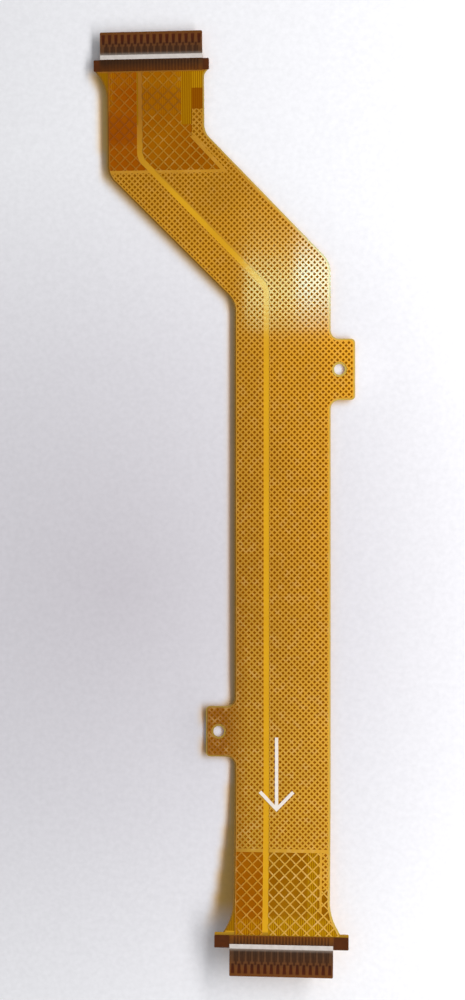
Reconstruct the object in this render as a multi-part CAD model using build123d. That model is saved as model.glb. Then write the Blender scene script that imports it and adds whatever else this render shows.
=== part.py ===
from build123d import *
import os
from math import ceil, cos, radians, sin, sqrt, tan

# A shaped flexible printed circuit with a stiffened plug-in tab at each end.
# Sizes are in millimetres. The printed side faces +Z, +Y runs along the strip to its upper end,
# and +X is to the right as the printed side is read from above.
# The layout measures X from the body's centre line and Y from the lower tip. A size that ends in
# drop is measured down from the upper tip, so a longer strip gains its length in the body.

# Strip outline
overall_length = 87.59
body_width = 8.95
neck_width = 9.15
neck_shift = -11.825            # neck centre line, from the body's centre line
left_bend_drop = 25.11          # where the body's left side turns into the slanted run
left_slant = 45.0               # slope of the slanted run's left side, in degrees
right_bend_drop = 21.53
right_slant = 46.1
body_left_radius = 2.1
neck_left_radius = 2.2
body_right_radius = 2.3
neck_right_radius = 1.8

# Plug-in tabs and their wings
contact_pitch = 0.3
contact_count = 31
contact_side_margin = 0.3       # from the last contact's centre line to the tab's side
tab_length = 2.54
tip_radius = 0.12
wing_radius = 0.1
upper_tab_shift = -12.19
upper_wing_reach = 0.62
upper_wing_depth = 1.05
upper_foot_inset = 0.14         # straight stretch of the wing's inner edge before the flare starts
upper_left_flare = 1.45
upper_left_flare_radius = 3.8
upper_right_flare = 0.45
upper_right_flare_radius = 0.75
lower_tab_shift = 0.0
lower_wing_reach = 1.42
lower_wing_depth = 1.14
lower_foot_inset = 0.8
lower_left_flare = 1.53
lower_left_flare_radius = 5.3
lower_right_flare = 1.68
lower_right_flare_radius = 4.6
film_lip = 0.26                 # film that shows past the lower stiffener's inner edge

# Ears with their locating holes
left_ear_bottom = 20.06
left_ear_height = 4.71
left_ear_reach = 2.69
left_hole_inset = 1.19          # hole centre, from the ear's outer side
right_ear_drop = 28.63          # the ear's top edge
right_ear_height = 5.7
right_ear_reach = 2.27
right_hole_inset = 1.45
ear_radius = 0.4
ear_root_radius = 0.8
hole_diameter = 1.0

# Layer thicknesses
film_thickness = 0.12
coverlay_thickness = 0.05       # lower part of the film, left off where the contacts are bare
copper_thickness = 0.035
stiffener_thickness = 0.1
ink_thickness = 0.015

# How the strip lies: flat in the middle, both ends curled up a little
flat_margin = 1.0               # flat film past the outermost edges of the two ears
lower_bend_length = 7.0
lower_tilt = 6.2                # slope of the straight lower end, in degrees
upper_bend_length = 14.5
upper_tilt = 3.3

# Ground copper under the printed side
copper_margin = 0.3             # bare film along the strip's edges
hole_ring = 0.16                # bare film round each locating hole
lane_width = 0.6                # bare lane between the left and the right copper
neck_lane_shift = -1.515        # lane, from the neck's centre line
body_lane_shift = -1.54         # lane, from the body's centre line
slant_lane_shift = -2.04        # lane, up from the slanted run's middle line
lane_bend_radius = 1.5          # middle line of the lane, where it turns
lattice_pitch = 0.737           # across the lines, which run at 45 degrees
lattice_line = 0.14
lattice_rim = 0.14              # solid copper round each open lattice
lattice_keep = 0.62             # a cut window smaller than this share of a whole one stays filled
lattice_end_gap = 0.7           # from the wing's inner edge to the open lattice
upper_lattice_reach = 9.26      # from the wing's inner edge to the lattice's far side
lower_lattice_reach = 7.42
edge_strip = 1.05               # solid copper along the right side of the open lattices
bundle_reach = 5.05             # bundle of traces beside the upper lattice, from the wing's inner edge
bundle_slots = 5
bundle_slot_width = 0.12
bundle_pitch = 0.21
stiffener_clearance = 0.12      # bare film between copper and stiffener

# Contacts: wide pads in a front and a rear row, with the front row's traces between the rear pads
trace_width = 0.1
trace_clearance = 0.06          # bare film on each side of a trace
trace_stub = 0.15               # shortest trace, between a rear pad's taper and the wing
pad_taper = 0.2
front_pad_start = 0.28          # from the tip
front_pad_length = 0.7
row_gap = 0.07                  # from the front row's tapers to the rear row

# White print
insertion_line_width = 0.4
upper_line_gap = 0.03           # from the wing's outer edge out along the tab
lower_line_gap = -0.36          # a negative gap starts inside the wing
arrow_stroke = 0.31
arrow_tail = 21.9
arrow_tip = 15.24
arrow_shift = -0.55             # shaft, from the body's centre line
arrow_head_reach = 1.55
arrow_head_length = 1.6

tab_width = contact_pitch * (contact_count - 1) + 2 * contact_side_margin
body_left = -body_width / 2
body_right = body_width / 2
neck_left = neck_shift - neck_width / 2
neck_right = neck_shift + neck_width / 2
left_bend = overall_length - left_bend_drop
right_bend = overall_length - right_bend_drop
left_ear_top = left_ear_bottom + left_ear_height
right_ear_top = overall_length - right_ear_drop
right_ear_bottom = right_ear_top - right_ear_height
left_hole = (body_left - left_ear_reach + left_hole_inset, left_ear_bottom + left_ear_height / 2)
right_hole = (body_right + right_ear_reach - right_hole_inset, right_ear_bottom + right_ear_height / 2)
lower_film_depth = lower_wing_depth + film_lip
upper_wing_edge = overall_length - tab_length - upper_wing_depth
lower_wing_edge = tab_length + lower_film_depth
film_top = film_thickness
copper_top = film_top + copper_thickness
stiffener_top = film_top + stiffener_thickness
bundle_left = neck_right - edge_strip - bundle_pitch * bundle_slots
bundle_end = upper_wing_edge - bundle_reach
pad_width = 2 * contact_pitch - trace_width - 2 * trace_clearance
rear_pad_start = front_pad_start + front_pad_length + pad_taper + row_gap
rear_pad_length = tab_length - trace_stub - pad_taper - rear_pad_start


def end_corners(tip, inward, centre, side, wing_reach, wing_depth, foot_inset):
    """Corners of one half of an end, from its tip to the foot of the flare."""
    tab_side = centre + side * tab_width / 2
    wing_side = tab_side + side * wing_reach
    root = tip + inward * tab_length
    wing_edge = root + inward * wing_depth
    return [
        (tab_side, tip, tip_radius),
        (tab_side, root, 0),
        (wing_side, root, wing_radius),
        (wing_side, wing_edge, wing_radius),
        (wing_side - side * foot_inset, wing_edge, 0),
    ]


def upper_end(side):
    """Corners of the upper end's left (-1) or right (+1) half."""
    sizes = (upper_wing_reach, upper_wing_depth, upper_foot_inset)
    return end_corners(overall_length, -1, upper_tab_shift, side, *sizes)


def lower_end(side):
    """Corners of the lower end's left (-1) or right (+1) half."""
    sizes = (lower_wing_reach, lower_film_depth, lower_foot_inset)
    return end_corners(0, 1, lower_tab_shift, side, *sizes)


def left_side():
    """Corners up the strip's left side, between the two ends' flares."""
    ear_side = body_left - left_ear_reach
    slant_rise = (body_left - neck_left) * tan(radians(left_slant))
    return [
        (body_left, lower_wing_edge + lower_left_flare, lower_left_flare_radius),
        (body_left, left_ear_bottom, ear_root_radius),
        (ear_side, left_ear_bottom, ear_radius),
        (ear_side, left_ear_top, ear_radius),
        (body_left, left_ear_top, ear_root_radius),
        (body_left, left_bend, body_left_radius),
        (neck_left, left_bend + slant_rise, neck_left_radius),
        (neck_left, upper_wing_edge - upper_left_flare, upper_left_flare_radius),
    ]


def right_side():
    """Corners down the strip's right side, between the two ends' flares."""
    ear_side = body_right + right_ear_reach
    slant_rise = (body_right - neck_right) * tan(radians(right_slant))
    return [
        (neck_right, upper_wing_edge - upper_right_flare, upper_right_flare_radius),
        (neck_right, right_bend + slant_rise, neck_right_radius),
        (body_right, right_bend, body_right_radius),
        (body_right, right_ear_top, ear_root_radius),
        (ear_side, right_ear_top, ear_radius),
        (ear_side, right_ear_bottom, ear_radius),
        (body_right, right_ear_bottom, ear_root_radius),
        (body_right, lower_wing_edge + lower_right_flare, lower_right_flare_radius),
    ]


def rounded_face(corners):
    """Face inside a closed line of (x, y, radius) corners, each radius kept within its two sides."""
    points = [Vector(x, y) for x, y, radius in corners]
    most_of_side = 0.95
    radii = []
    for index, (x, y, radius) in enumerate(corners):
        before = points[index - 1] - points[index]
        after = points[(index + 1) % len(points)] - points[index]
        room = most_of_side * min(before.length, after.length)
        radii.append(min(radius, room * tan(radians(before.get_angle(after) / 2))))
    return make_face(FilletPolyline(*points, radius=radii, close=True))


def block(left, right, bottom, top):
    """Plain rectangle between two X and two Y values."""
    return Pos((left + right) / 2, (bottom + top) / 2) * Rectangle(right - left, top - bottom)


def polygon(*points):
    """Face inside straight sides."""
    return make_face(Polyline(*points, close=True))


strip_corners = lower_end(-1) + left_side() + upper_end(-1)[::-1]
strip_corners += upper_end(1) + right_side() + lower_end(1)[::-1]
left_limit = min(x for x, y, radius in strip_corners)
right_limit = max(x for x, y, radius in strip_corners)
outline = rounded_face(strip_corners)
holes = [Pos(*centre) * Circle(hole_diameter / 2) for centre in (left_hole, right_hole)]


# The sheet's bow, seen from the side
flat_start = min(left_ear_bottom, right_ear_bottom) - flat_margin
flat_end = max(left_ear_top, right_ear_top) + flat_margin


def curled_end(start, direction, bend_length, tilt, height):
    """Arc and straight run of one end, at a height above the sheet's underside."""
    angle = radians(tilt)
    centre_height = bend_length / sin(angle)
    radius = centre_height - height

    def on_arc(turn):
        return Vector(0, start + direction * radius * sin(turn), centre_height - radius * cos(turn))

    run = Vector(0, direction * cos(angle), sin(angle)) * overall_length
    arc = ThreePointArc(on_arc(0), on_arc(angle / 2), on_arc(angle))
    return [arc, Line(on_arc(angle), on_arc(angle) + run)]


def bow_edges(height):
    """Side view of the sheet at one height: straight end, arc, flat middle, arc, straight end."""
    lower = curled_end(flat_start, -1, lower_bend_length, lower_tilt, height)
    upper = curled_end(flat_end, 1, upper_bend_length, upper_tilt, height)
    return lower + [Line((0, flat_start, height), (0, flat_end, height))] + upper


def layer(plan, low, high):
    """Solid above a plan outline, between two heights of the bowed sheet."""
    lower_edges = bow_edges(low)
    upper_edges = bow_edges(high)
    ends = [Line(lower_edges[index] @ 1, upper_edges[index] @ 1) for index in (1, -1)]
    side_view = make_face(lower_edges + upper_edges + ends)
    band = extrude(side_view, amount=right_limit - left_limit, dir=(1, 0, 0), both=True)
    return extrude(plan, amount=overall_length) & band


# Film, thinner at the tabs, where the contacts lie bare on its underside
def tab_face(tip, inward, centre):
    """Plan of a plug-in tab, from its tip to the wing."""
    bottom, top = sorted((tip, tip + inward * tab_length))
    return block(centre - tab_width / 2, centre + tab_width / 2, bottom, top)


upper_tab = tab_face(overall_length, -1, upper_tab_shift)
lower_tab = tab_face(0, 1, lower_tab_shift)
film_plan = outline - holes
base_film = layer(film_plan, coverlay_thickness, film_top)
base_film += layer(film_plan - upper_tab - lower_tab, 0, coverlay_thickness)


# Stiffeners, as wide as the film's tab and wing
def plate_half(corners, inner_edge):
    """Corners of one half of a stiffener, from its tip to its inner edge."""
    wing_side = corners[3][0]
    return corners[:3] + [(wing_side, inner_edge, wing_radius)]


def stiffener_plan(half, inner_edge):
    """Plan of a stiffener from the corners of both halves of its end."""
    left = plate_half(half(-1), inner_edge)
    right = plate_half(half(1), inner_edge)
    return rounded_face(left + right[::-1])


upper_stiffener_edge = upper_wing_edge
lower_stiffener_edge = tab_length + lower_wing_depth
upper_stiffener = layer(stiffener_plan(upper_end, upper_stiffener_edge), film_top, stiffener_top)
lower_stiffener = layer(stiffener_plan(lower_end, lower_stiffener_edge), film_top, stiffener_top)


# Contacts in two staggered rows, each pad narrowing to a trace that runs back to the wing
def contact_plan(x, tip, inward, start, length):
    """Plan of one contact: a pad from its start, a taper, and a trace to the end of the bare tab."""
    steps = [
        (pad_width, start),
        (pad_width, start + length),
        (trace_width, start + length + pad_taper),
        (trace_width, tab_length),
    ]
    left = [(x - width / 2, tip + inward * along) for width, along in steps]
    right = [(x + width / 2, tip + inward * along) for width, along in steps]
    return polygon(*left, *right[::-1])


def contact_row(tip, inward, centre, first, start, length):
    """Every second contact of an end, counted from the tab's left side."""
    left_contact = centre - contact_pitch * (contact_count - 1) / 2
    places = [left_contact + contact_pitch * index for index in range(first, contact_count, 2)]
    low = coverlay_thickness - copper_thickness
    pads = [contact_plan(x, tip, inward, start, length) for x in places]
    return Compound(children=[layer(pad, low, coverlay_thickness) for pad in pads])


front_pad = (1, front_pad_start, front_pad_length)
rear_pad = (0, rear_pad_start, rear_pad_length)
upper_place = (overall_length, -1, upper_tab_shift)
lower_place = (0, 1, lower_tab_shift)


# Ground copper, parted by the bare lane, with an open lattice at each end
def slant_middle(x):
    """Y of the slanted run's middle line at one X, halfway between the lines of its two sides."""
    left = left_bend + (body_left - x) * tan(radians(left_slant))
    right = right_bend + (body_right - x) * tan(radians(right_slant))
    return (left + right) / 2


def lane_plan():
    """Bare lane: straight down the neck, along the slanted run and down the body."""
    neck_lane = neck_shift + neck_lane_shift
    path = FilletPolyline(
        (neck_lane, overall_length),
        (neck_lane, slant_middle(neck_lane) + slant_lane_shift),
        (body_lane_shift, slant_middle(body_lane_shift) + slant_lane_shift),
        (body_lane_shift, 0),
        radius=lane_bend_radius,
    )
    return trace(path, line_width=lane_width)


def copper_faces():
    """Left and right copper plans, inside the film's margins and clear of lane, holes and stiffeners."""
    bottom = lower_wing_edge + stiffener_clearance
    top = upper_stiffener_edge - stiffener_clearance
    rings = [Pos(*centre) * Circle(hole_diameter / 2 + hole_ring) for centre in (left_hole, right_hole)]
    sheet = offset(outline, amount=-copper_margin) & block(left_limit, right_limit, bottom, top)
    sheet = sheet - lane_plan() - rings
    return sheet.faces().sort_by(Axis.X)


def lattice_zones(inside):
    """Parts of a copper plan that are open lattice: both ends, beside the right strip and the bundle."""
    upper_start = upper_wing_edge - upper_lattice_reach
    upper = block(left_limit, neck_right - edge_strip, upper_start, bundle_end)
    upper += block(left_limit, bundle_left, bundle_end, upper_wing_edge - lattice_end_gap)
    lower_start = lower_wing_edge + lattice_end_gap
    lower = block(left_limit, body_right - edge_strip, lower_start, lower_wing_edge + lower_lattice_reach)
    return (inside & upper).faces() + (inside & lower).faces()


def bundle_windows(inside):
    """Long slots that part the traces of the upper bundle."""
    starts = [bundle_left + bundle_pitch * index for index in range(bundle_slots)]
    slots = [block(start, start + bundle_slot_width, bundle_end, overall_length) for start in starts]
    cut = (Sketch() + slots) & inside
    return cut.faces() if cut else []


def lattice_windows(zone):
    """Square windows between lattice lines, cut off at the zone's edges."""
    side = lattice_pitch - lattice_line
    step = lattice_pitch / sqrt(2)
    box = zone.bounding_box()
    columns = range(ceil((box.min.X - side) / step), ceil((box.max.X + side) / step))
    rows = range(ceil((box.min.Y - side) / step), ceil((box.max.Y + side) / step))
    centres = [(column, row) for column in columns for row in rows if (column + row) % 2 == 0]
    squares = [Pos(column * step, row * step) * Rectangle(side, side, rotation=45) for column, row in centres]
    cut = (Sketch() + squares) & zone
    return [window for window in cut.faces() if window.area > lattice_keep * side ** 2]


def ground_copper(copper):
    """Copper foil with its lattice windows and bundle slots cut through."""
    inside = offset(copper, amount=-lattice_rim)
    windows = [window for zone in lattice_zones(inside) for window in lattice_windows(zone)]
    windows += bundle_windows(inside)
    print("copper windows:", len(windows))
    return layer(copper - windows, film_top, copper_top)


left_copper, right_copper = copper_faces()


# White print: a line across each tab that shows how far it goes in, and an arrow
def insertion_mark(tip, inward, centre, gap):
    """Printed line across a tab, measured out from the wing's outer edge."""
    edge = tip + inward * (tab_length - gap)
    bottom, top = sorted((edge, edge - inward * insertion_line_width))
    plan = block(centre - tab_width / 2, centre + tab_width / 2, bottom, top)
    return layer(plan, stiffener_top, stiffener_top + ink_thickness)


def arrow_plan():
    """Open-headed arrow that points to the lower end."""
    tip = (arrow_shift, arrow_tip)
    head_end = arrow_tip + arrow_head_length
    shaft = Line((arrow_shift, arrow_tail), tip)
    barbs = [(arrow_shift + side * arrow_head_reach, head_end) for side in (-1, 1)]
    head = Polyline(barbs[0], tip, barbs[1])
    return trace(shaft, line_width=arrow_stroke) + trace(head, line_width=arrow_stroke)


left_ground = ground_copper(left_copper)
right_ground = ground_copper(right_copper)
direction_arrow = layer(arrow_plan(), film_top, copper_top + ink_thickness) - left_ground - right_ground

nodes = {
    "base_film": base_film,
    "upper_stiffener": upper_stiffener,
    "lower_stiffener": lower_stiffener,
    "upper_front_contacts": contact_row(*upper_place, *front_pad),
    "upper_rear_contacts": contact_row(*upper_place, *rear_pad),
    "lower_front_contacts": contact_row(*lower_place, *front_pad),
    "lower_rear_contacts": contact_row(*lower_place, *rear_pad),
    "left_ground_copper": left_ground,
    "right_ground_copper": right_ground,
    "upper_insertion_mark": insertion_mark(*upper_place, upper_line_gap),
    "lower_insertion_mark": insertion_mark(*lower_place, lower_line_gap),
    "direction_arrow": direction_arrow,
}

# The origin is under the middle of the strip's outline, on the surface that it lies on
to_frame = Pos(-(left_limit + right_limit) / 2, -overall_length / 2, 0)
os.makedirs("parts", exist_ok=True)
for name, shape in nodes.items():
    export_step(to_frame * shape, f"parts/{name}.step")
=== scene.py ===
# %% [markdown]
# # A flat flex cable, dressed for its portrait
# The real object is a flexible printed circuit: copper foil between amber films, die cut to a strip with a
# jog, with a brown stiffener plate behind each plug-in tab. The CAD model already has its true size, its
# layers and its contacts. This lesson adds what makes it look real: the fine copper hatch, the film's amber
# zones, the finger marks pressed into the stiffeners, the finishes and the light.

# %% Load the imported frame
from math import pi, radians, sin, sqrt, tan

import bmesh
import bpy
import numpy as np
from mathutils import Matrix, Vector


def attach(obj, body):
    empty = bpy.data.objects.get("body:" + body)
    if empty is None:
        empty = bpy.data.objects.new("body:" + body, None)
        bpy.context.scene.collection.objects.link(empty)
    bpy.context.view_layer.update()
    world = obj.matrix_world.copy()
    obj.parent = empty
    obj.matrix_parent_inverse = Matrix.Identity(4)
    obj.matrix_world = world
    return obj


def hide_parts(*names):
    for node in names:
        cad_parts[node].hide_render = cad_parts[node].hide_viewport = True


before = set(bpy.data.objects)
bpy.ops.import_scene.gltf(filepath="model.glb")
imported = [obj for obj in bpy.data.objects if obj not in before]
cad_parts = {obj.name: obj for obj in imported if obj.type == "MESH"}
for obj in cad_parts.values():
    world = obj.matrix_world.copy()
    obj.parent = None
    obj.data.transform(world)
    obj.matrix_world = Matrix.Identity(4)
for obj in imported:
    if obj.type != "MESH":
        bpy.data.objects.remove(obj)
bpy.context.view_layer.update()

print("nodes:", sorted(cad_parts))

# %% [markdown]
# ## The outline
# The strip is die cut, so its outline is straight sides with round corners. It could be drawn as a Bezier
# curve, but a list of corners, each with a radius, is closer to the die maker's drawing and gives exact
# arcs. Plans are worked out flat and in millimetres, with X from the body's centre line and Y from the lower
# tip. The meshes are bent, moved to the frame and turned to metres at the very end.

# %% Corners of the two ends
overall_length = 87.59
tab_width = 9.6
tab_length = 2.54
tip_radius = 0.12
wing_radius = 0.1
upper_tab_shift = -12.19
upper_wing_reach = 0.62
upper_wing_depth = 1.05
upper_foot_inset = 0.14
lower_tab_shift = 0.0
lower_wing_reach = 1.42
lower_wing_depth = 1.14
lower_foot_inset = 0.8
film_lip = 0.26                 # film that shows past the lower stiffener
lower_film_depth = lower_wing_depth + film_lip
upper_wing_edge = overall_length - tab_length - upper_wing_depth
lower_wing_edge = tab_length + lower_film_depth


def end_corners(tip, inward, centre, side, reach, depth, foot_inset):
    """One half of an end as (x, y, radius) corners, from its tip over the wing to the foot of the flare."""
    tab_side = centre + side * tab_width / 2
    wing_side = tab_side + side * reach
    root = tip + inward * tab_length
    edge = root + inward * depth
    foot = wing_side - side * foot_inset
    wing = [(wing_side, root, wing_radius), (wing_side, edge, wing_radius)]
    return [(tab_side, tip, tip_radius), (tab_side, root, 0), *wing, (foot, edge, 0)]


def upper_end(side):
    """Left (-1) or right (+1) half of the upper end."""
    sizes = (upper_wing_reach, upper_wing_depth, upper_foot_inset)
    return end_corners(overall_length, -1, upper_tab_shift, side, *sizes)


def lower_end(side):
    """Left (-1) or right (+1) half of the lower end."""
    sizes = (lower_wing_reach, lower_film_depth, lower_foot_inset)
    return end_corners(0, 1, lower_tab_shift, side, *sizes)


print("tabs:", tab_width, "by", tab_length, "mm, and", len(lower_end(1)), "corners to each half of an end")

# %% Corners of the two long sides
body_left, body_right = -4.475, 4.475
neck_left, neck_right = -16.4, -7.25
left_bend, left_slant = 62.48, 45.0
right_bend, right_slant = 66.06, 46.1
body_left_radius, neck_left_radius = 2.1, 2.2
body_right_radius, neck_right_radius = 2.3, 1.8
left_ear_bottom, left_ear_top, left_ear_reach = 20.06, 24.77, 2.69
right_ear_bottom, right_ear_top, right_ear_reach = 53.26, 58.96, 2.27
ear_radius, ear_root_radius = 0.4, 0.8
upper_left_flare, upper_left_flare_radius = 1.45, 3.8
upper_right_flare, upper_right_flare_radius = 0.45, 0.75
lower_left_flare, lower_left_flare_radius = 1.53, 5.3
lower_right_flare, lower_right_flare_radius = 1.68, 4.6


def left_side():
    """Corners up the left side: lower flare, ear, jog and upper flare."""
    ear_side = body_left - left_ear_reach
    jog_top = left_bend + (body_left - neck_left) * tan(radians(left_slant))
    return [
        (body_left, lower_wing_edge + lower_left_flare, lower_left_flare_radius),
        (body_left, left_ear_bottom, ear_root_radius),
        (ear_side, left_ear_bottom, ear_radius),
        (ear_side, left_ear_top, ear_radius),
        (body_left, left_ear_top, ear_root_radius),
        (body_left, left_bend, body_left_radius),
        (neck_left, jog_top, neck_left_radius),
        (neck_left, upper_wing_edge - upper_left_flare, upper_left_flare_radius),
    ]


def right_side():
    """Corners down the right side: upper flare, jog, ear and lower flare."""
    ear_side = body_right + right_ear_reach
    jog_top = right_bend + (body_right - neck_right) * tan(radians(right_slant))
    return [
        (neck_right, upper_wing_edge - upper_right_flare, upper_right_flare_radius),
        (neck_right, jog_top, neck_right_radius),
        (body_right, right_bend, body_right_radius),
        (body_right, right_ear_top, ear_root_radius),
        (ear_side, right_ear_top, ear_radius),
        (ear_side, right_ear_bottom, ear_radius),
        (body_right, right_ear_bottom, ear_root_radius),
        (body_right, lower_wing_edge + lower_right_flare, lower_right_flare_radius),
    ]


strip_corners = lower_end(-1) + left_side() + upper_end(-1)[::-1]
strip_corners += upper_end(1) + right_side() + lower_end(1)[::-1]
left_limit = min(x for x, y, radius in strip_corners)
right_limit = max(x for x, y, radius in strip_corners)
print("strip:", round(right_limit - left_limit, 3), "by", overall_length, "mm")


# %% From corners to a smooth line
longest_reach = 0.95            # of an arc along a side, as a share of that side
shortest_step = 1e-5            # points closer than this are one


def turning(points):
    """+1 for a line that runs anticlockwise, -1 for clockwise: the sign of its area by the shoelace sum."""
    x, y = points.T
    return np.sign(np.sum(x * np.roll(y, -1) - np.roll(x, -1) * y))


def rounded_line(corners, arc_steps=12):
    """Closed anticlockwise line in which an arc replaces each corner.
    The arc touches both sides at radius / tan(half the corner's angle) from the corner. Its points are the
    two radius vectors mixed by sin((1 - t) turn) and sin(t turn), which keeps their length."""
    corners = np.array(corners, float)
    points = corners[:, :2]
    before = np.roll(points, 1, axis=0) - points
    after = np.roll(points, -1, axis=0) - points
    before_length = np.linalg.norm(before, axis=1, keepdims=True)
    after_length = np.linalg.norm(after, axis=1, keepdims=True)
    before, after = before / before_length, after / after_length
    half = np.arccos(np.clip(np.sum(before * after, axis=1, keepdims=True), -1, 1)) / 2
    most = longest_reach * np.minimum(before_length, after_length)
    reach = np.minimum(corners[:, 2:] / np.tan(half), most)
    bisector = (before + after) / np.linalg.norm(before + after, axis=1, keepdims=True)
    centre = points + bisector * reach / np.cos(half)
    start, end = points + before * reach - centre, points + after * reach - centre
    turn = (pi - 2 * half)[:, None]
    t = np.linspace(0, 1, arc_steps)[None, :, None]
    arc = (np.sin((1 - t) * turn) * start[:, None] + np.sin(t * turn) * end[:, None]) / np.sin(turn)
    line = (centre[:, None] + arc).reshape(-1, 2)
    line = line[np.linalg.norm(line - np.roll(line, 1, axis=0), axis=1) > shortest_step]
    return line if turning(line) > 0 else line[::-1]


def inset(corners, distances):
    """Corners of a closed line whose sides have moved inwards, each by its own distance.
    A moved corner is where both its moved sides meet: the vector whose parts along the two inward normals
    are the two distances. An arc on an outer corner gets smaller by its distance, and an inner one larger."""
    corners = np.array(corners, float)
    points = corners[:, :2]
    side = np.roll(points, -1, axis=0) - points
    side /= np.linalg.norm(side, axis=1, keepdims=True)
    hand = turning(points)
    after = hand * np.column_stack([-side[:, 1], side[:, 0]])
    before = np.roll(after, 1, axis=0)
    d_after = np.broadcast_to(np.array(distances, float), len(points))
    d_before = np.roll(d_after, 1)
    cross = before[:, 0] * after[:, 1] - before[:, 1] * after[:, 0]
    move_x = (d_before * after[:, 1] - d_after * before[:, 1]) / cross
    move_y = (d_after * before[:, 0] - d_before * after[:, 0]) / cross
    radius = corners[:, 2]
    smaller = np.maximum(radius - hand * np.sign(cross) * d_after, 0)
    return np.column_stack([points + np.column_stack([move_x, move_y]), np.where(radius > 0, smaller, 0)])


strip_line = rounded_line(strip_corners)
print("outline points:", len(strip_line))


# %% [markdown]
# ## Two kinds of flat block
# Every layer of the circuit is a thin plate with square edges. It could be extruded with a Solidify modifier.
# Here a prism carries an outline up through two heights, and a slab is a grid of cells of which some are
# left out. Slabs make sheets and lattices, prisms make the knives that trim them.

# %% Prism and slab
def new_mesh(name, vertices, faces):
    """Mesh from arrays or lists of vertices and faces."""
    mesh = bpy.data.meshes.new(name)
    mesh.from_pydata(vertices, [], faces)
    mesh.validate()
    return mesh


def prism(line, low, high):
    """Closed block over a line: the line at two heights, with one wall for each side."""
    line = np.array(line, float)
    line = line if turning(line) > 0 else line[::-1]
    count = len(line)
    lower = np.column_stack([line, np.full(count, low)])
    upper = np.column_stack([line, np.full(count, high)])
    index = np.arange(count)
    following = np.roll(index, -1)
    walls = np.column_stack([index, following, following + count, index + count])
    faces = [index[::-1].tolist(), (index + count).tolist()] + walls.tolist()
    return new_mesh("prism", np.concatenate([lower, upper]), faces)


def slab(xs, ys, low, high, kept=None):
    """Closed plate on a grid of x and y lines, between two heights.
    A kept cell has a top and a bottom. Where a kept cell borders one that is left out, there is a wall."""
    if kept is None:
        kept = np.ones((len(xs) - 1, len(ys) - 1), bool)
    x, y = np.meshgrid(xs, ys, indexing="ij")
    number = np.arange(x.size).reshape(x.shape)
    i, j = np.nonzero(kept)
    top = np.column_stack([number[i, j], number[i + 1, j], number[i + 1, j + 1], number[i, j + 1]]) + x.size
    parts = [top, top[:, ::-1] - x.size]
    ringed = np.pad(kept, 1)
    beside = [
        (ringed[:-2, 1:-1], (0, 1), (0, 0)),
        (ringed[2:, 1:-1], (1, 0), (1, 1)),
        (ringed[1:-1, :-2], (0, 0), (1, 0)),
        (ringed[1:-1, 2:], (1, 1), (0, 1)),
    ]
    for neighbour, first, second in beside:
        i, j = np.nonzero(kept & ~neighbour)
        a = number[i + first[0], j + first[1]]
        b = number[i + second[0], j + second[1]]
        parts.append(np.column_stack([a, b, b + x.size, a + x.size]))
    faces = np.concatenate(parts)
    used, faces = np.unique(faces, return_inverse=True)
    flat = np.column_stack([np.tile(x.ravel(), 2), np.tile(y.ravel(), 2)])
    heights = np.repeat([low, high], x.size)
    vertices = np.column_stack([flat, heights])[used]
    return new_mesh("slab", vertices, faces.reshape(-1, 4).tolist())


# %% Knives
KNIFE_LOW, KNIFE_HIGH = -1.0, 2.0
FAR = 100.0


def box_line(left, right, bottom, top):
    """Four corners of a rectangle, anticlockwise."""
    return np.array([(left, bottom), (right, bottom), (right, top), (left, top)], float)


def circle(centre, radius, steps=48):
    """Points round a circle: centre plus radius times cosine and sine."""
    turn = np.linspace(0, 2 * pi, steps, endpoint=False)
    return np.column_stack([centre[0] + radius * np.cos(turn), centre[1] + radius * np.sin(turn)])


def combined(mesh, other, operation):
    """One block with another: the part inside it (INTERSECT), outside it (DIFFERENCE), or both (UNION)."""
    body = bpy.data.objects.new("body", mesh)
    tool = bpy.data.objects.new("tool", other)
    for item in (body, tool):
        bpy.context.scene.collection.objects.link(item)
    modifier = body.modifiers.new("combine", "BOOLEAN")
    modifier.solver = "MANIFOLD"
    modifier.operation = operation
    modifier.object = tool
    graph = bpy.context.evaluated_depsgraph_get()
    result = bpy.data.meshes.new_from_object(body.evaluated_get(graph))
    bpy.data.objects.remove(body)
    bpy.data.objects.remove(tool)
    return result


def inside(mesh, line):
    """The part of a block inside a plan."""
    return combined(mesh, prism(line, KNIFE_LOW, KNIFE_HIGH), "INTERSECT")


def outside(mesh, *lines):
    """The part of a block outside some plans."""
    for line in lines:
        mesh = combined(mesh, prism(line, KNIFE_LOW, KNIFE_HIGH), "DIFFERENCE")
    return mesh


def united(meshes):
    """Overlapping blocks as one."""
    whole = meshes[0]
    for mesh in meshes[1:]:
        whole = combined(whole, mesh, "UNION")
    return whole


def joined(meshes):
    """One mesh that holds several separate blocks."""
    gathered = bmesh.new()
    for mesh in meshes:
        gathered.from_mesh(mesh)
    result = bpy.data.meshes.new("joined")
    gathered.to_mesh(result)
    gathered.free()
    return result


# %% [markdown]
# ## The bow
# A strip of film that has been rolled never lies quite flat: here the middle touches the floor and both ends
# curl up a little. An Armature or a Simple Deform modifier could bend it. The CAD model bends it along two
# arcs with straight runs beyond them, so the same formula is used here, and every layer keeps its distance.

# %% Height of the bowed sheet
flat_start, lower_bend_length, lower_tilt = 19.06, 7.0, 6.2
flat_end, upper_bend_length, upper_tilt = 59.96, 14.5, 3.3
MM = 0.001
to_frame = (-(left_limit + right_limit) / 2, -overall_length / 2)


def curl(distance, height, bend_length, tilt):
    """Height at a distance past the flat middle: arc centre less the root of radius squared minus distance
    squared, then a straight slope. The height over the sheet's underside shortens the arc's radius."""
    angle = radians(tilt)
    centre = bend_length / sin(angle)
    radius = centre - height
    arc_end = radius * sin(angle)
    on_arc = np.clip(distance, 0, arc_end)
    return centre - np.sqrt(radius ** 2 - on_arc ** 2) + np.maximum(distance - arc_end, 0) * tan(angle)


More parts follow.
